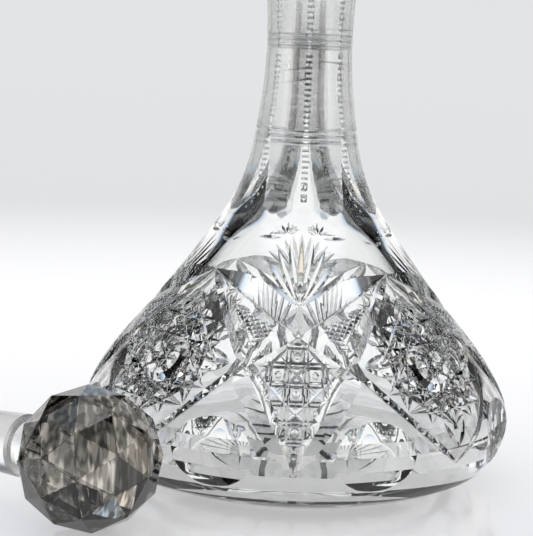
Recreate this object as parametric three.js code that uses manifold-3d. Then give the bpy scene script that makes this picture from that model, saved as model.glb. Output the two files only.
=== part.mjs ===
// Cut crystal decanter: a low wide bottle, blown thick and cut all over, with an eight-sided neck,
// and its solid faceted ball stopper, drawn out and lying beside it.
// Millimetres, +Z up, origin at the centre of the base where the bottle stands.
import * as THREE from 'three';
import { mergeVertices } from 'three/addons/utils/BufferGeometryUtils.js';
import Module from 'manifold-3d';

// ---- bottle: outside and inside profiles, [radius, height] --------------------------------
const HEIGHT = 240;          // base to the flat top of the lip
const OUTSIDE = [[60, 0], [66, 2.2], [78, 6.5], [84.5, 12.5], [88.3, 21], [89, 30], [84.5, 41.5],
  [75.5, 55], [63, 70], [51, 85], [40, 100], [31.5, 112.5], [26, 124], [22.5, 136]];
const NECK = [[20.2, 150], [18.4, 164], [17.6, 178], [17.9, 192], [18.8, 206]];
const LIP = [[19.8, 222], [21.5, 230], [25, 234.5], [25, 238.5], [23.5, HEIGHT]];
const INSIDE = [[11.8, HEIGHT], [10.8, 212], [7, 203], [6.6, 180], [7.2, 155], [9.2, 136],
  [12.4, 124], [18, 112.5], [29, 100], [40.5, 85], [52.5, 70], [65, 55], [74, 41.5], [79, 30],
  [77.5, 21], [70, 13.5], [58, 11]];
const ROUND = 56;            // sides of the outer turned surface, seven to each neck panel
const BORE_ROUND = 36;

// ---- neck: eight panels, and the ring cuts that cross them --------------------------------
const PANELS = 8;
const PANEL_FOOT = [104, 122];   // the panels fade out into the shoulder between these heights
const PANEL_TOP = [224, 231];    // and again below the lip
const RINGS = [141.5, 180.5, 219];
const RING_HALF = 3.6, RING_DEPTH = 0.9;

// ---- the cut pattern, repeated four times round: [turn in degrees, height] ----------------
const REPEATS = 4;
const ARM = [[-45, 89], [-22, 80.5], [0, 70], [15.5, 58.5], [31, 40], [45.5, 21]];
const KITE_EDGE = [[15.5, 58.5], [8, 40], [0, 21]];
const FAN_FOOT = [0, 78];
const FAN_TIPS = [[0, 103], [14, 101.5], [26, 97.5], [35, 93]];
const ARM_CUT = { depth: 2.6, spread: 1.15, steps: 12 };
const KITE_CUT = { depth: 2.2, spread: 1.0, steps: 6 };
const FAN_CUT = { depth: 1.1, spread: 0.9, steps: 3 };
const SLIVER = 0.03;             // edges shorter than this are merged away
const CUT_PROUD = 1.4;           // how far a cutter stands out of the glass
// each oval is left by a flattened ball sunk into the side: its three radii and how deep it goes
const OVAL = { turn: 20.5, height: 27.6, wide: 21.5, thick: 8, tall: 41, depth: 4.5 };

// ---- stopper: a ball of flat triangles on a ground peg, along its own axis -----------------
const BALL_R = 27;
const PEG = [[0, -20], [9.5, -20], [9.5, -28.5], [11.9, -31], [10.9, -55], [9.4, -57], [0, -57]];
const PEG_ROUND = 40;
const BALL_TURNS = [22, 32, 60]; // turn of the ball's facets against the peg, about Z, Y and Z
const STOPPER_TURN = 148;        // plan direction in which the peg points, from +X
const STOPPER_DIP = 1;           // how far the peg points down: it lies nearly level
const STOPPER_AT = [-74.1, -93]; // plan position of the ball

const glass = (hex) => new THREE.MeshStandardMaterial({ color: hex, roughness: 0.05,
  metalness: 0, transparent: true, opacity: 0.35 });

// ---- solids and booleans ------------------------------------------------------------------
const wasm = await Module();
wasm.setup();

function solid(geometry) {
  const bare = geometry.clone();
  bare.deleteAttribute('normal');
  bare.deleteAttribute('uv');
  const g = mergeVertices(bare, 1e-4);
  return new wasm.Manifold(new wasm.Mesh({ numProp: 3,
    vertProperties: new Float32Array(g.attributes.position.array),
    triVerts: new Uint32Array(g.index.array) }));
}

function geometryOf(manifold) {
  const mesh = manifold.getMesh();
  const g = new THREE.BufferGeometry();
  g.setAttribute('position', new THREE.BufferAttribute(new Float32Array(mesh.vertProperties), 3));
  g.setIndex(new THREE.BufferAttribute(new Uint32Array(mesh.triVerts), 1));
  return g;
}

function movePoints(geometry, move) {
  const p = geometry.attributes.position;
  const v = new THREE.Vector3();
  for (let i = 0; i < p.count; i++) {
    move(v.fromBufferAttribute(p, i));
    p.setXYZ(i, v.x, v.y, v.z);
  }
  return geometry;
}

// A lathe turns about +Y and faces outward when its profile climbs; stand it on +Z.
const turned = (points, sides) => new THREE.LatheGeometry(
  points.map(([r, z]) => new THREE.Vector2(r, z)), sides).rotateX(Math.PI / 2);

const smoothStep = (x, lo, hi) => THREE.MathUtils.smoothstep(x, lo, hi);

function curveThrough(points, count) {
  const curve = new THREE.SplineCurve(points.map(([r, z]) => new THREE.Vector2(r, z)));
  return curve.getSpacedPoints(count).map((p) => [p.x, p.y]);
}

// ---- the outer surface ---------------------------------------------------------------------
function ringedNeck() {
  const rows = [];
  const path = new THREE.SplineCurve([OUTSIDE.at(-1), ...NECK, LIP[0]]
    .map(([r, z]) => new THREE.Vector2(r, z)));
  const radiusAt = (z) => {
    const all = path.getPoints(160);
    const i = all.findIndex((p) => p.y >= z);
    const a = all[Math.max(i - 1, 0)], b = all[Math.max(i, 0)];
    return b.y === a.y ? a.x : a.x + (b.x - a.x) * (z - a.y) / (b.y - a.y);
  };
  for (const ring of RINGS) {
    for (const [dz, dr] of [[-RING_HALF, 0], [-RING_HALF / 2, RING_DEPTH], [0, 0],
      [RING_HALF / 2, RING_DEPTH], [RING_HALF, 0]]) {
      rows.push([radiusAt(ring + dz) + (dr ? 0.3 - dr : 0.3), ring + dz]);
    }
  }
  for (const z of [153, 166, 194, 206]) rows.push([radiusAt(z), z]);
  return rows.filter(([, z]) => z < LIP[0][1] + 1).sort((a, b) => a[1] - b[1]);
}

const BODY = curveThrough(OUTSIDE, 19);
const OUTER = [...BODY, ...ringedNeck(), ...LIP.slice(1)];

// How far a point of the neck is from round (0) to eight-sided (1).
const panelled = (z) => smoothStep(z, ...PANEL_FOOT) * (1 - smoothStep(z, ...PANEL_TOP));

function outerBlank() {
  const blank = turned([[0, 0], ...OUTER, [0, HEIGHT]], ROUND);
  const panel = 2 * Math.PI / PANELS;
  return movePoints(blank, (v) => {
    const angle = Math.atan2(v.x, -v.y);
    const off = ((angle % panel) + panel) % panel - panel / 2;
    const flat = Math.cos(panel / 2) / Math.cos(off);
    const k = 1 + panelled(v.z) * (flat - 1);
    v.x *= k;
    v.y *= k;
  });
}

const inside = () => turned([[0, HEIGHT + 5], [INSIDE[0][0], HEIGHT + 5],
  ...INSIDE.slice(0, 3), ...curveThrough(INSIDE.slice(2), 15).slice(1), [0, 11]].reverse(),
BORE_ROUND);

// ---- cuts: a straight V bar, bent to follow a path over the bottle ---------------------------
function radiusOf(z) {
  const i = BODY.findIndex(([, h]) => h >= z);
  const [r1, z1] = BODY[Math.max(i, 1)], [r0, z0] = BODY[Math.max(i, 1) - 1];
  return r0 + (r1 - r0) * (z - z0) / (z1 - z0);
}

function onBottle(turn, z) {
  const a = THREE.MathUtils.degToRad(turn), r = radiusOf(z);
  return new THREE.Vector3(r * Math.sin(a), -r * Math.cos(a), z);
}

function outwardAt(turn, z) {
  const a = THREE.MathUtils.degToRad(turn);
  const slope = (radiusOf(z + 2) - radiusOf(z - 2)) / 4;
  return new THREE.Vector3(Math.sin(a), -Math.cos(a), -slope).normalize();
}

// depth follows the cutting wheel: it runs in, stays down, and runs out to a point
const runIn = (t) => Math.min(1, 5 * Math.min(t, 1 - t) + 0.001);

function vCut(points, { depth, spread, steps }, mirror, turnBy) {
  const section = new THREE.Shape([new THREE.Vector2(-1, 1), new THREE.Vector2(0, -1),
    new THREE.Vector2(1, 1)]);
  const bar = new THREE.ExtrudeGeometry(section, { depth: 1, steps, bevelEnabled: false });
  const path = new THREE.SplineCurve(points.map(([a, z]) => new THREE.Vector2(mirror * a, z)));
  return solid(movePoints(bar, (v) => {
    const t = v.z;
    const here = path.getPointAt(t);
    const lo = path.getPointAt(Math.max(t - 0.01, 0)), hi = path.getPointAt(Math.min(t + 0.01, 1));
    const at = onBottle(here.x, here.y), out = outwardAt(here.x, here.y);
    const along = onBottle(hi.x, hi.y).sub(onBottle(lo.x, lo.y));
    const across = new THREE.Vector3().crossVectors(out, along).normalize();
    const down = depth * runIn(t);
    const side = v.x * spread * (down + CUT_PROUD), lift = v.y > 0 ? CUT_PROUD : -down;
    v.copy(at).addScaledVector(across, side).addScaledVector(out, lift);
  }).rotateZ(THREE.MathUtils.degToRad(turnBy)));
}

function ovalCut(mirror, turnBy) {
  const { turn, height, wide, thick, tall, depth } = OVAL;
  const lens = new THREE.SphereGeometry(1, 24, 14).scale(wide, thick, tall);
  lens.translate(0, -(radiusOf(height) - depth + thick), height);
  return solid(lens.rotateZ(THREE.MathUtils.degToRad(turnBy + mirror * turn)));
}

function cutPattern() {
  const cuts = [];
  for (let n = 0; n < REPEATS; n++) {
    const turnBy = n * 360 / REPEATS;
    for (const side of [-1, 1]) {
      cuts.push(vCut(ARM, ARM_CUT, side, turnBy));
      cuts.push(vCut(KITE_EDGE, KITE_CUT, side, turnBy));
      cuts.push(ovalCut(side, turnBy));
      for (const tip of FAN_TIPS) {
        if (tip[0] || side > 0) cuts.push(vCut([FAN_FOOT, tip], FAN_CUT, side, turnBy));
      }
    }
  }
  return cuts;
}

function bottle() {
  let body = solid(outerBlank());
  for (const cut of cutPattern()) body = body.subtract(cut);
  return geometryOf(body.subtract(solid(inside())).simplify(SLIVER));
}

// ---- the stopper, built upright and then laid down -------------------------------------------
function turnBall() {
  const [first, lean, last] = BALL_TURNS.map(THREE.MathUtils.degToRad);
  return new THREE.IcosahedronGeometry(BALL_R, 1).rotateZ(first).rotateY(lean).rotateZ(last);
}

// Turn that lays the stopper's axis down towards STOPPER_TURN.
function layDown() {
  const rad = THREE.MathUtils.degToRad;
  return new THREE.Matrix4().makeRotationZ(rad(STOPPER_TURN))
    .multiply(new THREE.Matrix4().makeRotationY(rad(-90 + STOPPER_DIP)));
}

function stopper() {
  const ball = solid(turnBall());
  const peg = solid(turned([...PEG].reverse(), PEG_ROUND));
  const g = geometryOf(ball.add(peg)).applyMatrix4(layDown());
  g.computeBoundingBox();
  return g.translate(STOPPER_AT[0], STOPPER_AT[1], -g.boundingBox.min.z);
}

function node(name, geometry, hex) {
  geometry.computeVertexNormals();
  const mesh = new THREE.Mesh(geometry, glass(hex));
  mesh.name = name;
  return mesh;
}

const group = new THREE.Group();
group.name = 'cut_crystal_decanter';
group.add(node('bottle', bottle(), 0xe9edf0), node('stopper', stopper(), 0xb9b8ae));
export default group;
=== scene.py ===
# %% [markdown]
# # Cut crystal decanter
# A decanter like this starts as one thick gather of lead crystal, blown into a mould and turned smooth.
# A cutter then grinds a pattern through that plain surface with stone wheels: V-edged wheels for the long
# mitres and stars, flat wheels for the panels of the neck, round-edged wheels for the ovals.
# This script works the same way. It turns a smooth blank, lays every cut out flat in millimetres, bends
# the cutters round the blank, and grinds them away one family at a time.
# %% Load the frame
import bpy, bmesh, math, time
from mathutils import Vector, Matrix


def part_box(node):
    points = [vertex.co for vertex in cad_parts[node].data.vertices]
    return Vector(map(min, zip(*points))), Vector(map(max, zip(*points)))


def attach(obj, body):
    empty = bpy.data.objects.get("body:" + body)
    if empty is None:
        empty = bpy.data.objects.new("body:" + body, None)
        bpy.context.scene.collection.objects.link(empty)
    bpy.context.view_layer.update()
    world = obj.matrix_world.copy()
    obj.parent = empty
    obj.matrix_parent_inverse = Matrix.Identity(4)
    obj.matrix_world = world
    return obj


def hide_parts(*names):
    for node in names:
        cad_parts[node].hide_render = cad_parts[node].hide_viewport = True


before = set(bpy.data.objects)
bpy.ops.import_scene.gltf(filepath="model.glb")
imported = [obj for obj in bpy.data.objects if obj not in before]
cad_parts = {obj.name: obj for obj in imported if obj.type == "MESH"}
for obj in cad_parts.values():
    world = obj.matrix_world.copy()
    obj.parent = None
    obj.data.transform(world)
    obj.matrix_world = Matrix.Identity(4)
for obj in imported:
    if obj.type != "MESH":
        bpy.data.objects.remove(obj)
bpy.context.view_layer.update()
MM = 0.001

# %% [markdown]
# ## The turned profile
# Every size below is in millimetres. The solid model has nearly the same profile, so the glass made here fills
# almost exactly the same space.
# %% Profiles
HEIGHT = 240.0
OUTSIDE = [(60, 0), (66, 2.2), (78, 6.5), (84.5, 12.5), (88.3, 21), (89, 30), (84.5, 41.5), (75.5, 55),
           (63, 70), (51, 85), (40, 100), (31.5, 112.5), (26, 124), (22.5, 136),
           (20.2, 150), (18.4, 164), (17.6, 178), (17.9, 192), (18.8, 206), (19.8, 222), (21.5, 230)]
LIP = [(24.2, 233.2), (25, 234.8), (25, 238.2), (24.4, 239.5), (23.2, HEIGHT), (13.0, HEIGHT), (12.1, 239.4)]
INSIDE = [(11.8, 238.6), (10.8, 212), (7, 203), (6.6, 180), (7.2, 155), (9.2, 136), (12.4, 124),
          (18, 112.5), (29, 100), (40.5, 85), (52.5, 70), (65, 55), (74, 41.5), (79, 30), (77.5, 21),
          (70, 13.5), (58, 11), (40, 10.6), (20, 10.4), (0, 10.4)]


def smooth_through(points, per_span):
    """Catmull-Rom curve through the points, the draughtsman's spline."""
    out = []
    n = len(points)
    for i in range(n - 1):
        p0, p1, p2, p3 = (points[max(i - 1, 0)], points[i], points[i + 1], points[min(i + 2, n - 1)])
        for k in range(per_span):
            t = k / per_span
            out.append(tuple(0.5 * (2 * b + (c - a) * t + (2 * a - 5 * b + 4 * c - d) * t * t
                                    + (3 * b - a - 3 * c + d) * t ** 3)
                             for a, b, c, d in zip(p0, p1, p2, p3)))
    return out + [points[-1]]


SKIN = smooth_through(OUTSIDE, 12)
SKIN_Z = [z for r, z in SKIN]


def radius_at(z):
    lo, hi = 0, len(SKIN) - 1
    while hi - lo > 1:
        mid = (lo + hi) // 2
        if SKIN_Z[mid] <= z:
            lo = mid
        else:
            hi = mid
    (r0, z0), (r1, z1) = SKIN[lo], SKIN[hi]
    return r0 + (r1 - r0) * (z - z0) / (z1 - z0)


def slope_at(z):
    return (radius_at(z + 0.6) - radius_at(z - 0.6)) / 1.2


def on_glass(turn, z):
    a, r = math.radians(turn), radius_at(z)
    return Vector((r * math.sin(a), -r * math.cos(a), z))


def outward(turn, z):
    a = math.radians(turn)
    return Vector((math.sin(a), -math.cos(a), -slope_at(z))).normalized()


# %% [markdown]
# ## Cutters
# A cutting wheel with a V edge leaves a groove with two flat walls. Each cutter here is a straight bar of
# three corners. Its ridge is pressed in to the wanted depth, its two top edges stand just clear of the glass,
# and the whole bar is then bent along its path. The depth runs out at both ends, which is what gives real
# cuts their pointed, leaf-like tips.
# %% Cutters
PROUD = 0.35


def table(points, t):
    """Straight-line look-up in a short list of (position, value)."""
    for (a, va), (b, vb) in zip(points, points[1:]):
        if t <= b:
            return va + (vb - va) * (t - a) / (b - a) if b > a else vb
    return points[-1][1]


def path_point(path, t):
    """A place along a path of (turn, height), straight between two points, curved through more."""
    if len(path) == 2:
        return tuple(a + (b - a) * t for a, b in zip(*path))
    f = min(max(t, 0.0), 1.0) * (len(path) - 1)
    i = min(int(f), len(path) - 2)
    u = f - i
    p0, p1, p2, p3 = path[max(i - 1, 0)], path[i], path[i + 1], path[min(i + 2, len(path) - 1)]
    return tuple(0.5 * (2 * b + (c - a) * u + (2 * a - 5 * b + 4 * c - d) * u * u
                        + (3 * b - a - 3 * c + d) * u ** 3) for a, b, c, d in zip(p0, p1, p2, p3))


LENS = [(0, -0.04), (0.08, 0.3), (0.25, 0.8), (0.5, 1), (0.75, 0.8), (0.92, 0.3), (1, -0.04)]
BLUNT = [(0, -0.04), (0.06, 1), (0.94, 1), (1, -0.04)]


def bar_mesh(corners, steps):
    """A unit bar along z with the given number of corners, cut into steps."""
    bm = bmesh.new()
    bmesh.ops.create_cone(bm, cap_ends=True, cap_tris=False, segments=corners, radius1=1, radius2=1, depth=1)
    bmesh.ops.translate(bm, verts=bm.verts, vec=(0, 0, 0.5))
    long_edges = [e for e in bm.edges if abs(e.verts[0].co.z - e.verts[1].co.z) > 0.5]
    if steps > 1:
        bmesh.ops.subdivide_edges(bm, edges=long_edges, cuts=steps - 1)
    bmesh.ops.recalc_face_normals(bm, faces=bm.faces)
    turn = math.atan2(*reversed([*min(bm.verts, key=lambda v: v.co.z).co.xy]))
    bmesh.ops.rotate(bm, verts=bm.verts, matrix=Matrix.Rotation(-math.pi / 2 - turn
                     + (math.pi / 4 if corners == 4 else 0), 3, "Z"))
    mesh = bpy.data.meshes.new("bar")
    bm.to_mesh(mesh)
    bm.free()
    return mesh


def v_shape(cut, x, y, t):
    """Sideways place and lift of one corner of a V cutter."""
    k = table(cut.get("ends", BLUNT), t)
    deep = cut["depth"] * (table(cut["deep"], t) if "deep" in cut else 1) * k
    wide = [table(w, t) if isinstance(w, list) else w for w in (cut["left"], cut["right"])]
    if y < -0.4:
        return 0.0, -deep
    side = wide[0] if x < 0 else wide[1]
    steep = side / max(cut["depth"] * (table(cut["deep"], t) if "deep" in cut else 1), 1e-3)
    return math.copysign(steep * (deep + cut.get("proud", PROUD)), x), cut.get("proud", PROUD)


def grind_bars(name, cuts, corners=3, steps=6, shape=v_shape):
    """One object holding a family of cutters that do not touch each other."""
    bar = bar_mesh(corners, steps)
    count = len(bar.vertices)
    bm = bmesh.new()
    for _ in cuts:
        bm.from_mesh(bar)
    bm.verts.ensure_lookup_table()
    for n, cut in enumerate(cuts):
        for v in bm.verts[n * count:(n + 1) * count]:
            t = v.co.z
            side, lift = shape(cut, v.co.x, v.co.y, t)
            (a0, z0), (a1, z1) = path_point(cut["path"], t - 0.01), path_point(cut["path"], t + 0.01)
            turn, z = path_point(cut["path"], t)
            out = outward(turn, z)
            along = on_glass(a1, z1) - on_glass(a0, z0)
            across = along.cross(out).normalized()
            v.co = (on_glass(turn, z) + across * side + out * lift) * MM
    bmesh.ops.recalc_face_normals(bm, faces=bm.faces)
    mesh = bpy.data.meshes.new(name)
    bm.to_mesh(mesh)
    bm.free()
    bpy.data.meshes.remove(bar)
    return mesh


def mirrored(cut):
    """The same cut on the other side of its motif."""
    return dict(cut, path=[(-a, z) for a, z in cut["path"]], left=cut["right"], right=cut["left"])


def round_bottle(cuts, repeats=4, start=0.0):
    """Copies of the cuts all round the bottle."""
    return [dict(c, path=[(a + start + n * 360 / repeats, z) for a, z in c["path"]])
            for n in range(repeats) for c in cuts]


# %% [markdown]
# ## Laying a field out flat
# Small repeated cuts are drawn on a flat patch, in millimetres from the patch's centre, and clipped to the
# outline of their field. The patch is then laid on the glass.
# %% Fields
class Patch:
    """A flat drawing board laid on the glass at one place."""

    def __init__(self, turn, z):
        self.turn, self.z = turn, z
        self.r = radius_at(z)
        self.climb = 1 / math.hypot(1, slope_at(z))

    def put(self, x, y):
        return self.turn + math.degrees(x / self.r), self.z + y * self.climb

    def flat(self, turn, z):
        return math.radians(turn - self.turn) * self.r, (z - self.z) / self.climb

    def line(self, a, b, **cut):
        return dict(cut, path=[self.put(*a), self.put(*b)])


def inset(poly, by):
    """The outline moved inwards by a distance (corners in anticlockwise order)."""
    out = []
    n = len(poly)
    lines = []
    for i in range(n):
        (x0, y0), (x1, y1) = poly[i], poly[(i + 1) % n]
        d = math.hypot(x1 - x0, y1 - y0)
        nx, ny = -(y1 - y0) / d, (x1 - x0) / d
        lines.append((nx, ny, nx * x0 + ny * y0 + (by[i] if isinstance(by, (list, tuple)) else by)))
    for i in range(n):
        a, b = lines[i - 1], lines[i]
        det = a[0] * b[1] - a[1] * b[0]
        out.append(((a[2] * b[1] - a[1] * b[2]) / det, (a[0] * b[2] - a[2] * b[0]) / det))
    return out


def clipped(poly, angle, offset):
    """The stretch of one line, at an angle and an offset, that lies inside a convex outline."""
    c, s = math.cos(math.radians(angle)), math.sin(math.radians(angle))
    lo, hi = -1e9, 1e9
    n = len(poly)
    for i in range(n):
        (x0, y0), (x1, y1) = poly[i], poly[(i + 1) % n]
        nx, ny = -(y1 - y0), (x1 - x0)
        top = nx * (x0 + offset * s) + ny * (y0 - offset * c)
        rate = nx * c + ny * s
        if abs(rate) < 1e-9:
            if top > 0:
                return None
        elif rate > 0:
            lo = max(lo, top / rate)
        else:
            hi = min(hi, top / rate)
    if hi - lo < 1.2:
        return None
    return tuple((t * c - offset * s, t * s + offset * c) for t in (lo, hi))


def hatch(patch, poly, angle, pitch, start=0.0, **cut):
    cuts = []
    for k in range(-30, 31):
        ends = clipped(poly, angle, start + k * pitch)
        if ends:
            cuts.append(patch.line(*ends, **cut))
    return cuts


print("cutters ready")

# %% [markdown]
# ## The long mitres
# Two deep mitres cross on each face of the bottle and meet those of the next face.
# Their walls are not equal: the wheel was leaned over, which leaves one wide bright wall and one narrow dark one.
# Shorter mitres close off the hatched triangles and the pointed kite below the crossing.
# %% Mitres
ARM_PATH = [(-45.5, 89.6), (-29.4, 84.7), (-17.5, 80.0), (-8.0, 75.1), (0, 70.1), (8.5, 64.3), (16.0, 58.4),
            (23.0, 50.2), (29.6, 41.4), (36.2, 32.3), (46.0, 20.5)]
ARM = dict(path=ARM_PATH, depth=4.2, ends=[(0, -0.05), (0.05, 0.5), (0.12, 1), (0.93, 1), (1, -0.05)],
           deep=[(0, 0.8), (0.2, 1), (0.5, 1), (0.66, 0.45), (1, 0.4)],
           left=[(0, 3), (0.08, 7.0), (0.2, 8.2), (0.4, 8.0), (0.58, 5.5), (0.64, 1.5), (1, 1.2)],
           right=[(0, 1.2), (0.2, 2.0), (0.4, 1.8), (0.58, 1.8), (0.68, 1.6), (1, 1.5)])
SIDE = dict(path=[(45.5, 89.4), (34.4, 81.4), (26.5, 73.6), (20.5, 65.9), (15.9, 58.2)], depth=2.6,
            ends=[(0, -0.05), (0.1, 0.8), (0.85, 1), (1, 0.3)],
            left=[(0, 1.2), (0.4, 3.0), (1, 2.6)], right=[(0, 1.5), (0.4, 4.6), (1, 3.8)])
KITE = dict(path=[(15.9, 58.6), (10.8, 49.5), (6.7, 40.4), (3.1, 31.3), (0, 20.2)], depth=3.0,
            ends=[(0, 0.6), (0.12, 1), (0.75, 1), (1, 0.12)],
            left=[(0, 7.8), (0.5, 6.2), (1, 3.0)], right=[(0, 4.8), (0.5, 3.6), (1, 1.8)])
FAMILIES = [
    ("arm_right", grind_bars("arm_right", round_bottle([ARM]), steps=20)),
    ("arm_left", grind_bars("arm_left", round_bottle([mirrored(ARM)]), steps=20)),
    ("side_right", grind_bars("side_right", round_bottle([SIDE]), steps=8)),
    ("side_left", grind_bars("side_left", round_bottle([mirrored(SIDE)]), steps=8)),
    ("kite_right", grind_bars("kite_right", round_bottle([KITE]), steps=8)),
    ("kite_left", grind_bars("kite_left", round_bottle([mirrored(KITE)]), steps=8)),
]

# %% [markdown]
# ## Hatched fields
# The two triangles beside the crossing are filled with tiny four-sided pyramids, made by two sets of parallel
# cuts. The kite below holds a cane pattern: upright and level double lines make a chequerboard, and slanting
# lines cross every other square. The squares between them each get a shallow round dent, like a button.
# %% Hatching
tri = Patch(24.5, 73.0)
TRI = inset([tri.flat(*p) for p in [(2.2, 70.4), (16.2, 60.6), (42.5, 86.6)]], [1.1, 2.9, 1.3])
FINE = dict(depth=0.85, left=0.74, right=0.74, proud=0.12, ends=BLUNT)
hatch_up = hatch(tri, TRI, 62, 1.85, **FINE)
hatch_over = hatch(tri, TRI, -14, 1.85, **FINE)
for name, cuts in (("hatch_up", hatch_up), ("hatch_over", hatch_over)):
    FAMILIES.append((name, grind_bars(name, round_bottle(cuts + [mirrored(c) for c in cuts]), steps=3)))

kite = Patch(0, 47.0)
KITE_CORNERS = [(0, 68.8), (-15.3, 57.6), (0, 21.0), (15.3, 57.6)]
KITE_FIELD = inset([kite.flat(*p) for p in KITE_CORNERS], [1.6, 2.8, 2.8, 1.6])
LINE = dict(depth=0.95, left=0.72, right=0.72, proud=0.12, ends=BLUNT)
CELL, ROW, DOUBLE = 7.6, -1.0, 0.85
SLANT = (ROW - CELL / 2) / math.sqrt(2)
for name, angle, pitch, first in (("cane_up", 90, CELL, CELL / 2), ("cane_level", 0, CELL, ROW),
                                  ("cane_rise", 45, CELL * math.sqrt(2), SLANT),
                                  ("cane_fall", -45, CELL * math.sqrt(2), SLANT)):
    pair = (-DOUBLE, DOUBLE) if angle in (0, 90) else (0,)
    cuts = [c for gap in pair for c in hatch(kite, KITE_FIELD, angle, pitch, first + gap, **LINE)]
    FAMILIES.append((name, grind_bars(name, round_bottle(cuts), steps=4)))


def dents(name, places, wide, tall, deep):
    """Shallow round hollows, one ball cutter to each place (turn, height)."""
    bm = bmesh.new()
    for turn, z in places:
        ball = bmesh.ops.create_uvsphere(bm, u_segments=14, v_segments=8, radius=1)["verts"]
        bmesh.ops.scale(bm, verts=ball, vec=(wide, tall, 2 * deep))
        out = outward(turn, z)
        side = Vector((0, 0, 1)).cross(out).normalized()
        place = Matrix((side, out.cross(side), out)).transposed().to_4x4()
        at = on_glass(turn, z) + out * deep
        bmesh.ops.transform(bm, verts=ball, matrix=Matrix.Scale(MM, 4) @ Matrix.Translation(at) @ place)
    bmesh.ops.recalc_face_normals(bm, faces=bm.faces)
    mesh = bpy.data.meshes.new(name)
    bm.to_mesh(mesh)
    bm.free()
    return mesh


BUTTON_WIDE, BUTTON_TALL, BUTTON_DEEP = 1.7, 2.0, 0.7
buttons = [kite.put(i * CELL, ROW + (j + 0.5) * CELL)
           for i in (-1, 0, 1) for j in (-2, -1, 0, 1, 2) if (i + j) % 2 == 0]
button_places = [(a + 90 * n, z) for a, z in buttons for n in range(4)]
FAMILIES.append(("buttons", dents("buttons", button_places, BUTTON_WIDE, BUTTON_TALL, BUTTON_DEEP)))
print("hatched triangles and cane kite:", len(buttons), "buttons to a face")

# %% [markdown]
# ## Hobstars
# Between the faces sits a many-pointed star. Sixteen straight cuts each join one point of a circle to the sixth
# one along. Eight shorter chords, each to the fourth point along, break up the lattice they leave. The flat hob in
# the middle gets a small star of its own.
# %% Hobstars
hob = Patch(45, 57.0)
POINTS, SKIP, STAR_R = 16, 6, 27.0
CHORD = dict(depth=2.7, left=2.3, right=2.3, ends=LENS)


def rim(k, r=STAR_R, n=POINTS, at=(0, 0)):
    a = 2 * math.pi * k / n
    return at[0] + r * math.sin(a), at[1] + r * math.cos(a)


for k in range(POINTS // 2):
    pair = [hob.line(rim(j), rim(j + SKIP), **CHORD) for j in (k, k + POINTS // 2)]
    FAMILIES.append((f"star_{k}", grind_bars(f"star_{k}", round_bottle(pair), steps=5)))
SHORT_SKIP = 4
SHORT = dict(depth=1.7, left=1.5, right=1.5, ends=LENS)
for k in range(0, POINTS // 2, 2):
    ring = [hob.line(rim(j), rim(j + SHORT_SKIP), **SHORT) for j in (k, k + POINTS // 2)]
    FAMILIES.append((f"lattice_{k}", grind_bars(f"lattice_{k}", round_bottle(ring), steps=4)))
HOB_R, HOB_POINTS = 9.0, 8
for k in range(HOB_POINTS // 2):
    cut = hob.line(rim(k, HOB_R, HOB_POINTS), rim(k + HOB_POINTS // 2, HOB_R, HOB_POINTS),
                   depth=2.2, left=1.5, right=1.5, ends=LENS)
    FAMILIES.append((f"hob_{k}", grind_bars(f"hob_{k}", round_bottle([cut]), steps=4)))
print("stars laid out:", POINTS, "points,", 2 * STAR_R, "mm across")

# %% [markdown]
# ## Fans, leaves and sprays
# Above the crossing a fan of leaf-shaped cuts opens on to the plain shoulder, with two little sprays and two
# level leaves beside its tip. Small fans also fill the corners round each hobstar.
# %% Fans
def fan(turn, z, r_in, r_out, angles, **cut):
    patch = Patch(turn, z)
    cuts = []
    for a, reach in angles:
        s, c = math.sin(math.radians(a)), math.cos(math.radians(a))
        cuts.append(patch.line((s * r_in, c * r_in), (s * r_out * reach, c * r_out * reach), **cut))
    return cuts


RAY = dict(depth=1.15, left=1.25, right=1.25, ends=LENS)
RAY_REACH = [(0, 1), (13, 0.97), (-13, 0.97), (26, 0.95), (-26, 0.95), (39, 0.93), (-39, 0.93),
             (52, 0.9), (-52, 0.9), (64, 0.86), (-64, 0.86)]
big = fan(0, 78.2, 2.0, 31.5, RAY_REACH, **RAY)
spray = [c for s in (-1, 1) for c in
         fan(s * 9.5, 104.0, 0.8, 6.2, [(a, 1 - abs(a) / 260) for a in (0, 32, -32, 64, -64)],
             depth=0.6, left=0.5, right=0.5, ends=LENS)]
leaf_patch = [Patch(s * 20, 103.0) for s in (-1, 1)]
leaves = [p.line((-5.0, 0), (5.0, 0), depth=0.8, left=0.9, right=0.9, ends=LENS) for p in leaf_patch]
corner = fan(45, 81.5, 0.5, 12.0, [(180, 1), (150, 0.95), (210, 0.95)], depth=1.4, left=1.1, right=1.1, ends=LENS)
foot = fan(45, 27.0, 0.5, 14.0, [(0, 1), (30, 0.9), (-30, 0.9)], depth=1.4, left=1.2, right=1.2, ends=LENS)
wing = [c for s in (-1, 1)
        for c in fan(45 + s * 25.0, 58.5, 0.5, 13.0, [(-90 * s, 1), (-62 * s, 0.9), (-118 * s, 0.9)],
                     depth=1.4, left=1.2, right=1.2, ends=LENS)]
small = [corner, foot, wing]
for name, cuts, steps in (("fan_even", big[0::2] + leaves + spray[0::2], 6),
                          ("fan_odd", big[1::2] + spray[1::2], 6),
                          ("corner_even", [c for one in small for c in one[0::2]], 4),
                          ("corner_odd", [c for one in small for c in one[1::2]], 4)):
    FAMILIES.append((name, grind_bars(name, round_bottle(cuts), steps=steps)))
print("shoulder fan:", len(big), "rays, sprays:", len(spray), "small fans:", sum(map(len, small)))

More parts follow.
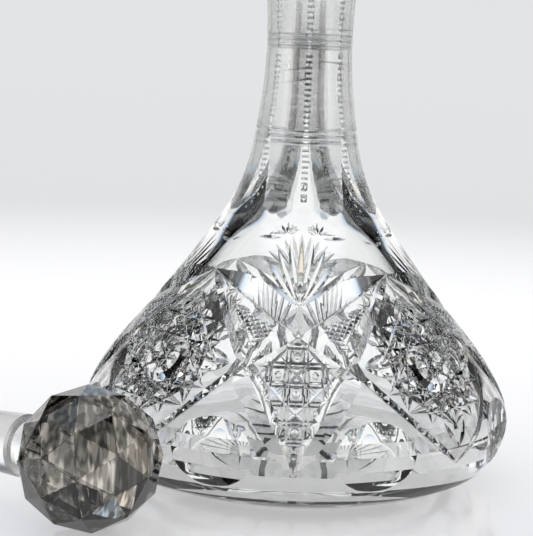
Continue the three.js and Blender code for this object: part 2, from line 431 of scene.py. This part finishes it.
# %% [markdown]
# ## Ovals
# Two large ovals are hollowed out of each face with a round-edged wheel. A cutter for one is a flattened ball
# sunk a little way into the side.
# %% Ovals
def oval_mesh():
    bm = bmesh.new()
    turn, z, deep = 20.5, 27.6, 4.5
    wide, thick, tall = 21.5, 8.0, 41.0
    for n in range(4):
        for s in (-1, 1):
            ball = bmesh.ops.create_uvsphere(bm, u_segments=48, v_segments=28, radius=1)["verts"]
            bmesh.ops.rotate(bm, verts=ball, matrix=Matrix.Rotation(math.pi / 2, 3, "X"))
            bmesh.ops.scale(bm, verts=ball, vec=(wide, thick, tall))
            bmesh.ops.translate(bm, verts=ball, vec=(0, -(radius_at(z) - deep + thick), z))
            bmesh.ops.rotate(bm, verts=ball, matrix=Matrix.Rotation(math.radians(s * turn + 90 * n), 3, "Z"))
    bmesh.ops.scale(bm, verts=bm.verts, vec=(MM, MM, MM))
    bmesh.ops.recalc_face_normals(bm, faces=bm.faces)
    mesh = bpy.data.meshes.new("ovals")
    bm.to_mesh(mesh)
    bm.free()
    return mesh


FAMILIES.append(("ovals", oval_mesh()))
print("ovals hollowed: 8")

# %% [markdown]
# ## The neck
# Eight flat panels are ground down the neck. They die out on the shoulder in rounded scallops, because there the
# flat wheel meets glass that flares away from it. The sharp corners left between panels are notched from top to
# bottom, and three bands of level cuts cross the panels.
# %% Neck
PANEL_DEEP = 1 - math.cos(math.pi / 8)
PANEL_RUN = [(0, -0.6), (0.05, 0.1), (0.14, 0.3), (0.3, 0.75), (0.4, 1.0), (0.97, 1.0), (1, -0.2)]
PANEL_CLEAR = 0.9            # how far a panel cutter stands out of the glass
PANEL_FROM, PANEL_TO = 105, 231
RINGS = [141.5, 180.5, 219.0]
RING_PITCH, RING_HALF, RING_DEEP, RING_PROUD = 2.3, 0.75, 0.55, 0.25
NOTCH_PITCH, NOTCH_LONG, NOTCH_HALF, NOTCH_DEEP, NOTCH_PROUD = 2.2, 2.8, 0.8, 0.38, 0.2
NOTCH_FROM, NOTCH_TO, NOTCH_CLEAR = 117.0, 227.5, 4.4


def panel_shape(cut, x, y, t):
    z = path_point(cut["path"], t)[1]
    r = radius_at(z)
    down = r * PANEL_DEEP * table(PANEL_RUN, t)
    half = r * math.tan(math.pi / 8) * 0.9985 * (1 - PANEL_DEEP)
    if y < 0:
        return math.copysign(half, x), -down
    return math.copysign(half, x), PANEL_CLEAR


for n, start in ((0, 22.5), (1, 67.5)):
    panels = [dict(path=[(start + 90 * k, PANEL_FROM), (start + 90 * k, PANEL_TO)]) for k in range(4)]
    FAMILIES.append((f"panels_{n}", grind_bars(f"panels_{n}", panels, corners=4, steps=26, shape=panel_shape)))


def notch_mesh():
    """Small level V cutters, one above another, across each corner of the neck."""
    bar = bar_mesh(3, 1)
    bm = bmesh.new()
    z, places = NOTCH_FROM, []
    while z < NOTCH_TO:
        if all(abs(z - ring) > NOTCH_CLEAR for ring in RINGS):
            places += [(k * 45.0, z) for k in range(8)]
        z += NOTCH_PITCH
    for _ in places:
        bm.from_mesh(bar)
    bm.verts.ensure_lookup_table()
    count = len(bar.vertices)
    for n, (turn, z) in enumerate(places):
        out = outward(turn, z)
        up = Vector((0, 0, 1)).cross(out).cross(out) * -1
        side = Vector((0, 0, 1)).cross(out)
        at = on_glass(turn, z)
        for v in bm.verts[n * count:(n + 1) * count]:
            low = v.co.y < -0.4
            lift = -NOTCH_DEEP if low else NOTCH_PROUD
            wide = 0 if low else math.copysign(NOTCH_HALF, v.co.x)
            v.co = (at + side * (v.co.z - 0.5) * NOTCH_LONG + up * wide + out * lift) * MM
    bmesh.ops.recalc_face_normals(bm, faces=bm.faces)
    mesh = bpy.data.meshes.new("notches")
    bm.to_mesh(mesh)
    bm.free()
    return mesh


def ring_mesh():
    """Level V cuts right round the eight-sided neck, three to a band."""
    bm = bmesh.new()
    for ring in RINGS:
        for dz in (-RING_PITCH, 0, RING_PITCH):
            z = ring + dz
            corners = [(RING_HALF, -RING_PROUD), (0.0, RING_DEEP), (-RING_HALF, -RING_PROUD)]
            loop = []
            for h, deep in corners:
                loop.append(bm.verts.new((0, -(radius_at(z) - deep), z + h)))
            edges = [bm.edges.new((loop[i], loop[(i + 1) % 3])) for i in range(3)]
            bmesh.ops.spin(bm, geom=loop + edges, axis=(0, 0, 1), cent=(0, 0, 0), angle=2 * math.pi,
                           steps=64, use_merge=True)
    for v in bm.verts:
        a = math.atan2(v.co.x, -v.co.y)
        off = (a % (math.pi / 4)) - math.pi / 8
        k = math.cos(math.pi / 8) / math.cos(off)
        v.co = Vector((v.co.x * k, v.co.y * k, v.co.z)) * MM
    bmesh.ops.recalc_face_normals(bm, faces=bm.faces)
    mesh = bpy.data.meshes.new("rings")
    bm.to_mesh(mesh)
    bm.free()
    return mesh


FAMILIES += [("rings", ring_mesh()), ("notches", notch_mesh())]
print("neck: 8 panels,", len(RINGS), "bands of rings")

# %% [markdown]
# ## The star under the base
# The base is ground flat and cut with a star, which shows through the thick foot as a ring of rays.
# %% Base star
BASE_RAYS, BASE_FROM, BASE_LONG, BASE_DEEP, BASE_HALF, BASE_PROUD = 24, 4, 54.5, 2.0, 1.7, 0.3


def base_star():
    bar = bar_mesh(3, 6)
    meshes = []
    for odd in (0, 1):
        bm = bmesh.new()
        turns = [k * 360 / BASE_RAYS for k in range(BASE_RAYS) if k % 2 == odd]
        for _ in turns:
            bm.from_mesh(bar)
        bm.verts.ensure_lookup_table()
        count = len(bar.vertices)
        for n, turn in enumerate(turns):
            a = math.radians(turn)
            along, across = Vector((math.sin(a), -math.cos(a), 0)), Vector((math.cos(a), math.sin(a), 0))
            for v in bm.verts[n * count:(n + 1) * count]:
                t = v.co.z
                deep = BASE_DEEP * table([(0, -0.05), (0.3, 0.5), (0.75, 1), (1, -0.05)], t)
                low = v.co.y < -0.4
                side = 0 if low else math.copysign(BASE_HALF * (deep + BASE_PROUD) / BASE_DEEP, v.co.x)
                lift = Vector((0, 0, deep if low else -BASE_PROUD))
                v.co = (along * (BASE_FROM + BASE_LONG * t) + across * side + lift) * MM
        bmesh.ops.recalc_face_normals(bm, faces=bm.faces)
        mesh = bpy.data.meshes.new(f"base_star_{odd}")
        bm.to_mesh(mesh)
        bm.free()
        meshes.append((f"base_star_{odd}", mesh))
    return meshes


FAMILIES += base_star()
print("cutter families:", len(FAMILIES), "corners in all:", sum(len(m.vertices) for n, m in FAMILIES))

# %% [markdown]
# ## Blowing the blank
# The blank is one closed profile spun round the axis: the outside going up, over the lip, and back down the bore
# to the floor inside. It is spun finely enough that plain glass refracts smoothly.
# %% Blank
def spun(name, profile, sides):
    bm = bmesh.new()
    verts = [bm.verts.new((0, -r * MM, z * MM)) for r, z in profile]
    edges = [bm.edges.new(pair) for pair in zip(verts, verts[1:])]
    bmesh.ops.spin(bm, geom=verts + edges, axis=(0, 0, 1), cent=(0, 0, 0), angle=2 * math.pi, steps=sides,
                   use_merge=True)
    bmesh.ops.remove_doubles(bm, verts=bm.verts, dist=1e-6)
    bmesh.ops.recalc_face_normals(bm, faces=bm.faces)
    mesh = bpy.data.meshes.new(name)
    bm.to_mesh(mesh)
    bm.free()
    return mesh


def thinned(points, gap):
    """Drop profile points closer together than the gap."""
    out = [points[0]]
    for p in points[1:-1]:
        if math.dist(p, out[-1]) >= gap:
            out.append(p)
    return out + [points[-1]]


start = time.time()
outer_line = thinned(SKIN, 4.0)
inner_line = thinned(smooth_through(INSIDE, 10), 5.5)
BLANK = [(0, 0), (20, 0), (40, 0), (56, 0)] + outer_line + LIP + inner_line
bottle_mesh = spun("bottle_blank", BLANK, 128)
bottle = bpy.data.objects.new("bottle_glass", bottle_mesh)
bpy.context.scene.collection.objects.link(bottle)
print("blank", len(bottle_mesh.polygons), "faces")


def grind(target, families):
    """Take every family of cutters away from the glass, one after another."""
    tools = []
    for name, mesh in families:
        tool = bpy.data.objects.new("tool_" + name, mesh)
        bpy.context.scene.collection.objects.link(tool)
        mod = target.modifiers.new(name, "BOOLEAN")
        mod.operation, mod.solver, mod.object = "DIFFERENCE", "MANIFOLD", tool
        tools.append(tool)
    graph = bpy.context.evaluated_depsgraph_get()
    cut = bpy.data.meshes.new_from_object(target.evaluated_get(graph))
    target.modifiers.clear()
    old = target.data
    target.data = cut
    bpy.data.meshes.remove(old)
    for tool in tools:
        mesh = tool.data
        bpy.data.objects.remove(tool)
        bpy.data.meshes.remove(mesh)


grind(bottle, FAMILIES)
bottle.data.calc_loop_triangles()
print("ground bottle:", len(bottle.data.polygons), "faces,", len(bottle.data.loop_triangles), "triangles,",
      round(time.time() - start, 1), "s")

# %% [markdown]
# ## Crisp cuts on smooth glass
# Polished glass is smooth, but every cut has a hard edge. Faces are shaded smooth and the edges where the
# surface turns by more than a few degrees are marked sharp.
# %% Edges
GLASS_EDGE, STOPPER_EDGE = math.radians(14), math.radians(6)


def crisp(mesh, angle):
    for poly in mesh.polygons:
        poly.use_smooth = True
    mesh.set_sharp_from_angle(angle=angle)


crisp(bottle.data, GLASS_EDGE)
print("edges marked sharp above", round(math.degrees(GLASS_EDGE)), "degrees")

# %% [markdown]
# ## The stopper
# The stopper is solid. Its ball is ground into flat triangles, its peg is turned and then ground rough so that
# it grips in the neck. It is made upright at the origin and then laid down where the solid model has it.
# %% Stopper
BALL_R = 27.0
PEG = [(0, -20), (9.5, -20), (9.5, -28.2), (10.0, -29.4), (11.2, -30.4), (11.9, -31.4), (10.9, -55), (10.6, -56.2),
       (9.4, -57), (0, -57)]
STOPPER_TURN, STOPPER_DIP = 148.0, 1.0
BALL_TURNS = (22.0, 32.0, 60.0)


def faceted_ball():
    bm = bmesh.new()
    bmesh.ops.create_icosphere(bm, subdivisions=2, radius=1)
    second = max((v for v in bm.verts if v.co.z < 0.95), key=lambda v: v.co.z).co
    spin = Matrix.Rotation(math.pi / 2, 3, "Z") @ Matrix.Rotation(-math.acos(second.z), 3, "Y") \
        @ Matrix.Rotation(-math.atan2(second.y, second.x), 3, "Z")
    first, lean, last = [math.radians(a) for a in BALL_TURNS]
    bmesh.ops.rotate(bm, verts=bm.verts, matrix=Matrix.Rotation(last, 3, "Z") @ Matrix.Rotation(lean, 3, "Y")
                     @ Matrix.Rotation(first, 3, "Z") @ spin)
    for v in bm.verts:
        v.co = v.co.normalized() * BALL_R * MM
    bmesh.ops.bevel(bm, geom=bm.edges[:], offset=0.16 * MM, offset_type="OFFSET", affect="EDGES", segments=1,
                    profile=0.5, material=-1)
    mesh = bpy.data.meshes.new("ball")
    bm.to_mesh(mesh)
    bm.free()
    return mesh


def lay_down():
    lay = (Matrix.Rotation(math.radians(STOPPER_TURN), 4, "Z")
           @ Matrix.Rotation(math.radians(-90 + STOPPER_DIP), 4, "Y"))
    lo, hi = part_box("stopper")
    return lay, lo, hi


stopper_mesh = faceted_ball()
stopper = bpy.data.objects.new("stopper_glass", stopper_mesh)
bpy.context.scene.collection.objects.link(stopper)
peg_tool = bpy.data.objects.new("peg", spun("peg", PEG, 96))
bpy.context.scene.collection.objects.link(peg_tool)
join = stopper.modifiers.new("peg", "BOOLEAN")
join.operation, join.solver, join.object = "UNION", "MANIFOLD", peg_tool
graph = bpy.context.evaluated_depsgraph_get()
whole = bpy.data.meshes.new_from_object(stopper.evaluated_get(graph))
stopper.modifiers.clear()
stopper.data = whole
bpy.data.objects.remove(peg_tool)

GROUND_PEG = [i for i, p in enumerate(whole.polygons)
              if -55.2 * MM < p.center.z < -31.2 * MM and math.hypot(p.center.x, p.center.y) > 10.5 * MM]
CLEAR_PEG = [i for i, p in enumerate(whole.polygons)
             if p.center.z < -25.0 * MM and math.hypot(p.center.x, p.center.y) < 12.5 * MM]
lay, lo, hi = lay_down()
whole.transform(lay)
now_lo = [min(v.co[i] for v in whole.vertices) for i in range(3)]
now_hi = [max(v.co[i] for v in whole.vertices) for i in range(3)]
whole.transform(Matrix.Translation([(lo[i] + hi[i] - now_lo[i] - now_hi[i]) / 2 for i in range(3)]))
crisp(whole, STOPPER_EDGE)
print("stopper", len(whole.polygons), "faces; size", [round((b - a) * 1000, 1) for a, b in zip(now_lo, now_hi)],
      "solid model", [round((b - a) * 1000, 1) for a, b in zip(lo, hi)])

# %% [markdown]
# ## Glass
# Lead crystal is heavier and bends light more than window glass: its index is about 1.55 to 1.56. It is nearly
# colourless. The ground peg and the ground mouth are frosted. Two finishes also carry painted reflections in their
# base colour, dark and light patches that stand in for the dark and light parts of a room: the facets of the
# stopper, whose glass is smoky as well, with painted light and dark lines too, and the cuts inside each star.
# %% Materials
class Nodes:
    """A short way to add shader nodes: type, settings, then socket values or links."""

    def __init__(self, tree):
        self.tree = tree
        tree.nodes.clear()

    def add(self, kind, settings=None, **sockets):
        node = self.tree.nodes.new(kind)
        for key, value in (settings or {}).items():
            setattr(node, key, value)
        for key, value in sockets.items():
            socket = node.inputs[int(key[1:])] if key[0] == "i" and key[1:].isdigit() \
                else node.inputs[key.replace("_", " ")]
            self.feed(socket, value)
        return node

    def feed(self, socket, value):
        if isinstance(value, Num):
            value = value.socket
        if isinstance(value, bpy.types.NodeSocket):
            self.tree.links.new(value, socket)
        else:
            socket.default_value = value


class Num:
    """A number in a shader, so that maths on it reads as Python."""

    def __init__(self, nodes, socket):
        self.nodes, self.socket = nodes, socket

    def _op(self, operation, a, b=None):
        node = self.nodes.add("ShaderNodeMath", {"operation": operation}, i0=a, **({} if b is None else {"i1": b}))
        return Num(self.nodes, node.outputs[0])

    def __add__(self, o): return self._op("ADD", self, o)
    def __radd__(self, o): return self._op("ADD", o, self)
    def __sub__(self, o): return self._op("SUBTRACT", self, o)
    def __rsub__(self, o): return self._op("SUBTRACT", o, self)
    def __mul__(self, o): return self._op("MULTIPLY", self, o)
    def __rmul__(self, o): return self._op("MULTIPLY", o, self)
    def __gt__(self, o): return self._op("GREATER_THAN", self, o)
    def cosine(self): return self._op("COSINE", self)
    def angle_to(self, o): return self._op("ARCTAN2", self, o)


def ramp(nodes, value, stops, tint=(1, 1, 1)):
    node = nodes.add("ShaderNodeValToRGB", Fac=value)
    while len(node.color_ramp.elements) < len(stops):
        node.color_ramp.elements.new(0.5)
    for el, (pos, val) in zip(node.color_ramp.elements, stops):
        shade = val if isinstance(val, tuple) else (val, val, val)
        el.position, el.color = pos, (*[a * b for a, b in zip(shade, tint)], 1)
    return node.outputs["Color"]


def times(nodes, a, b):
    return nodes.add("ShaderNodeMix", {"data_type": "RGBA", "blend_type": "MULTIPLY"},
                     i0=1.0, i6=a, i7=b).outputs[2]


def blend(nodes, share, a, b):
    """Colour a where the share is 0 and colour b where it is 1."""
    return nodes.add("ShaderNodeMix", {"data_type": "RGBA"}, i0=share, i6=a, i7=b).outputs[2]


def painted_facet_reflection(n, coord, tint, stops, painted_streaks):
    """Painted reflections: each flat facet gets a painted shade, dark to light, from its direction, with fine
    painted light and dark lines along it.
    """
    tone = n.add("ShaderNodeTexNoise", {"noise_dimensions": "3D"}, Vector=coord.outputs["Normal"],
                 Scale=2.6, Detail=2.0)
    painted_tones = ramp(n, tone.outputs["Fac"], stops, tint)
    if not painted_streaks:
        return painted_tones
    lie = n.add("ShaderNodeMapping", Vector=coord.outputs["Object"], Scale=(1.0, 1.0, 0.05))
    painted_streak_noise = n.add("ShaderNodeTexNoise", {"noise_dimensions": "3D"}, Vector=lie.outputs[0],
                  Scale=330.0, Detail=1.0)
    return times(n, painted_tones, ramp(n, painted_streak_noise.outputs["Fac"], painted_streaks))


def glass(name, tint, rough, ior, ripple, smoke=None, painted_tones=None, painted_streaks=None):
    mat = bpy.data.materials.new(name)
    mat.use_nodes = True
    n = Nodes(mat.node_tree)
    coord = n.add("ShaderNodeTexCoord")
    wave = n.add("ShaderNodeTexNoise", {"noise_dimensions": "3D"}, Vector=coord.outputs["Object"], Scale=70.0,
                 Detail=1.0, Roughness=0.4)
    bump = n.add("ShaderNodeBump", Strength=ripple, Distance=0.0004, Height=wave.outputs["Fac"])
    shade = n.add("ShaderNodeBsdfPrincipled", Base_Color=(*tint, 1), Roughness=rough, IOR=ior,
                  Transmission_Weight=1.0, Normal=bump.outputs["Normal"])
    out = n.add("ShaderNodeOutputMaterial", Surface=shade.outputs[0])
    # Painted reflections: the base colour takes dark and light patches by facet direction, standing in for a
    # room's light and shade.
    if painted_tones:
        n.feed(shade.inputs["Base Color"], painted_facet_reflection(n, coord, tint, painted_tones, painted_streaks))
    if smoke:
        murk = n.add("ShaderNodeVolumeAbsorption", Color=(*smoke[0], 1), Density=smoke[1])
        n.feed(out.inputs["Volume"], murk.outputs[0])
    mat.diffuse_color = (*tint, 0.35)
    return mat


clear = glass("crystal_clear", (0.985, 0.99, 0.985), 0.0, 1.545, 0.05)
frosted = glass("crystal_ground", (1.0, 1.0, 0.995), 0.25, 1.545, 0.3)
bottle.data.materials.clear()
bottle.data.materials.append(clear)
bottle.data.materials.append(frosted)
# The star cuts' base colour carries painted reflections, mostly painted shade, darker than the clear glass.
bottle.data.materials.append(glass("crystal_star_painted_reflection", (1.0, 1.0, 0.985), 0.0, 1.545, 0.05,
                                       painted_tones=[(0.36, 0.25), (0.5, 0.75), (0.6, 1.0)]))


def in_star_field(c):
    """True for a cut face inside the diamond that surrounds a hobstar."""
    z, r = c.z / MM, math.hypot(c.x, c.y) / MM
    if not 20 < z < 90 or not radius_at(z) - 6 < r < radius_at(z) - 0.08:
        return False
    turn = (math.degrees(math.atan2(c.x, -c.y)) % 90) - 45
    x, y = math.radians(turn) * hob.r, (z - hob.z) / hob.climb
    return abs(x) / 36.0 + abs(y) / 42.0 < 1


# Cut faces in the diamond round each hobstar get the material with painted reflections; the mouth is frosted.
for poly in bottle.data.polygons:
    c = poly.center
    inside_mouth = 0.2125 < c.z < 0.2385 and math.hypot(c.x, c.y) < 12.3 * MM
    poly.material_index = 1 if inside_mouth else 2 if in_star_field(c) else 0
whole.materials.clear()
# The stopper's base colour carries painted reflections: dark facets and painted light and dark lines; its glass
# also absorbs a warm grey-brown.
whole.materials.append(glass("crystal_stopper", (1.0, 0.97, 0.91), 0.0, 1.56, 0.03,
                             ((0.44, 0.38, 0.26), 10.5), [(0.44, 0.07), (0.5, 0.4), (0.53, 1.0)],
                             [(0.43, 0.14), (0.5, 0.65), (0.54, 1.0)]))
whole.materials.append(frosted)
whole.materials.append(clear)
for poly in whole.polygons:
    poly.material_index = 0
for i in CLEAR_PEG:
    whole.polygons[i].material_index = 2
for i in GROUND_PEG:
    whole.polygons[i].material_index = 1

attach(bottle, "decanter")
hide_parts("bottle")
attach(stopper, "loose_stopper")
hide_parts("stopper")

# %% [markdown]
# ## Table, light and camera
# The bottle stands on a pale table. The table fades out far from the glass and gives off a little light of its
# own, because glass on it would otherwise stand in too dark a patch.
# %% Table
floor_bm = bmesh.new()
bmesh.ops.create_circle(floor_bm, cap_ends=True, segments=96, radius=1.4)
floor_mesh = bpy.data.meshes.new("floor")
floor_bm.to_mesh(floor_mesh)
floor_bm.free()
floor = bpy.data.objects.new("floor", floor_mesh)
floor.location.z = -0.0004
bpy.context.scene.collection.objects.link(floor)
floor_mat = bpy.data.materials.new("pale_table")
floor_mat.use_nodes = True
n = Nodes(floor_mat.node_tree)
where = n.add("ShaderNodeTexCoord")
distance = n.add("ShaderNodeVectorMath", {"operation": "LENGTH"}, i0=where.outputs["Object"])
fade = n.add("ShaderNodeMapRange", {"interpolation_type": "SMOOTHSTEP"}, Value=distance.outputs["Value"],
             From_Min=0.25, From_Max=1.3, To_Min=1.0, To_Max=0.0)
top = n.add("ShaderNodeBsdfPrincipled", Base_Color=(0.46, 0.46, 0.465, 1), Roughness=0.14, IOR=1.35,
            Emission_Color=(1.0, 1.0, 1.01, 1), Emission_Strength=0.36, Alpha=fade.outputs[0])
n.add("ShaderNodeOutputMaterial", Surface=top.outputs[0])
floor_mesh.materials.append(floor_mat)

# %% [markdown]
# ## Light
# Cut glass shows its cuts only where it bends something dark into view, which is why it is often lit from a white
# tent with dark cards in it. The world here is split by kind of ray. The camera sees a plain pale wall, and rays
# scattered by the table's matt part meet plain white. Rays that pass through the glass, or mirror off the glass or
# the table, meet the tent: it has a dark band overhead and dark upright stripes, with faintly warm and cool edges.
# %% Light
world = bpy.data.worlds.new("tent")
bpy.context.scene.world = world
world.use_nodes = True
n = Nodes(world.node_tree)
direction = n.add("ShaderNodeTexCoord")
split = n.add("ShaderNodeSeparateXYZ", Vector=direction.outputs["Generated"])
level = Num(n, split.outputs["Z"]) * 0.5 + 0.5
around = Num(n, split.outputs["X"]).angle_to(split.outputs["Y"])
panels = (around * 3.0).cosine() * 0.5 + 0.5

WARM, COOL = (1.0, 0.86, 0.66), (0.66, 0.81, 1.0)
WALL_STOPS = [(0.0, 0.5), (0.45, 0.76), (0.5, 0.775), (0.62, 0.765), (1.0, 0.765)]
TENT_STOPS = [(0.0, 0.8), (0.5, 1.05), (0.63, 1.05), (0.655, COOL), (0.68, 0.03), (0.9, 0.02), (0.92, COOL),
              (0.945, 1.5)]
STRIPE_STOPS = [(0.0, 0.015), (0.34, 0.02), (0.385, WARM), (0.43, 1.0), (1.0, 1.0)]
UNSTRIPED_STOPS = [(0.0, 1.0), (0.47, 1.0), (0.51, 0.0), (0.84, 0.0), (0.9, 1.0)]
PLAIN, BOUNCED = (1, 1, 1, 1), (0.95, 0.95, 0.955, 1)
wall = ramp(n, level, WALL_STOPS, (0.992, 1.0, 1.012))
tent = ramp(n, level, TENT_STOPS, (1, 1, 1.01))
stripe = blend(n, ramp(n, level, UNSTRIPED_STOPS), ramp(n, panels, STRIPE_STOPS), PLAIN)
path = n.add("ShaderNodeLightPath")
hard = blend(n, path.outputs["Is Camera Ray"], times(n, tent, stripe), wall)
soft = blend(n, Num(n, path.outputs["Diffuse Depth"]) > 0.5, hard, BOUNCED)
back = n.add("ShaderNodeBackground", Color=soft, Strength=1.0)
n.add("ShaderNodeOutputWorld", Surface=back.outputs[0])
print("world nodes", len(world.node_tree.nodes))

# %% [markdown]
# ## Camera
# A long lens a little above the table keeps the bottle's sides from leaning. The camera is pitched down a few
# degrees and rolled slightly, and a small sideways shift places the bottle right of the middle.
# %% Camera
CAM_BACK, CAM_UP, PITCH, ROLL = 0.620, 0.1685, math.radians(7.55), math.radians(2.24)
cam_data = bpy.data.cameras.new("camera")
cam_data.sensor_width = 36.0
cam_data.lens = 99.9
cam_data.shift_x = -0.0644
cam = bpy.data.objects.new("camera", cam_data)
bpy.context.scene.collection.objects.link(cam)
ahead = Vector((0, math.cos(PITCH), -math.sin(PITCH)))
right = Vector((1, 0, 0))
up = right.cross(ahead)
right, up = (right * math.cos(ROLL) + up * math.sin(ROLL), up * math.cos(ROLL) - right * math.sin(ROLL))
turn = Matrix((right, up, -ahead)).transposed()
cam.matrix_world = Matrix.Translation((0, -CAM_BACK, CAM_UP)) @ turn.to_4x4()
bpy.context.scene.camera = cam
scene = bpy.context.scene
print("camera at", tuple(round(x, 4) for x in cam.matrix_world.translation), "lens", round(cam_data.lens, 1))

# %% [markdown]
# ## Bounces
# A ray can meet dozens of cut walls before it leaves the glass, so it is allowed more bounces than usual. Too few
# would leave black spots in the stars.
# %% Bounces
scene.view_settings.view_transform = "Standard"
scene.cycles.max_bounces = 24
scene.cycles.transmission_bounces = 24
scene.cycles.glossy_bounces = 8
scene.cycles.diffuse_bounces = 3
print("bounces", scene.cycles.max_bounces)
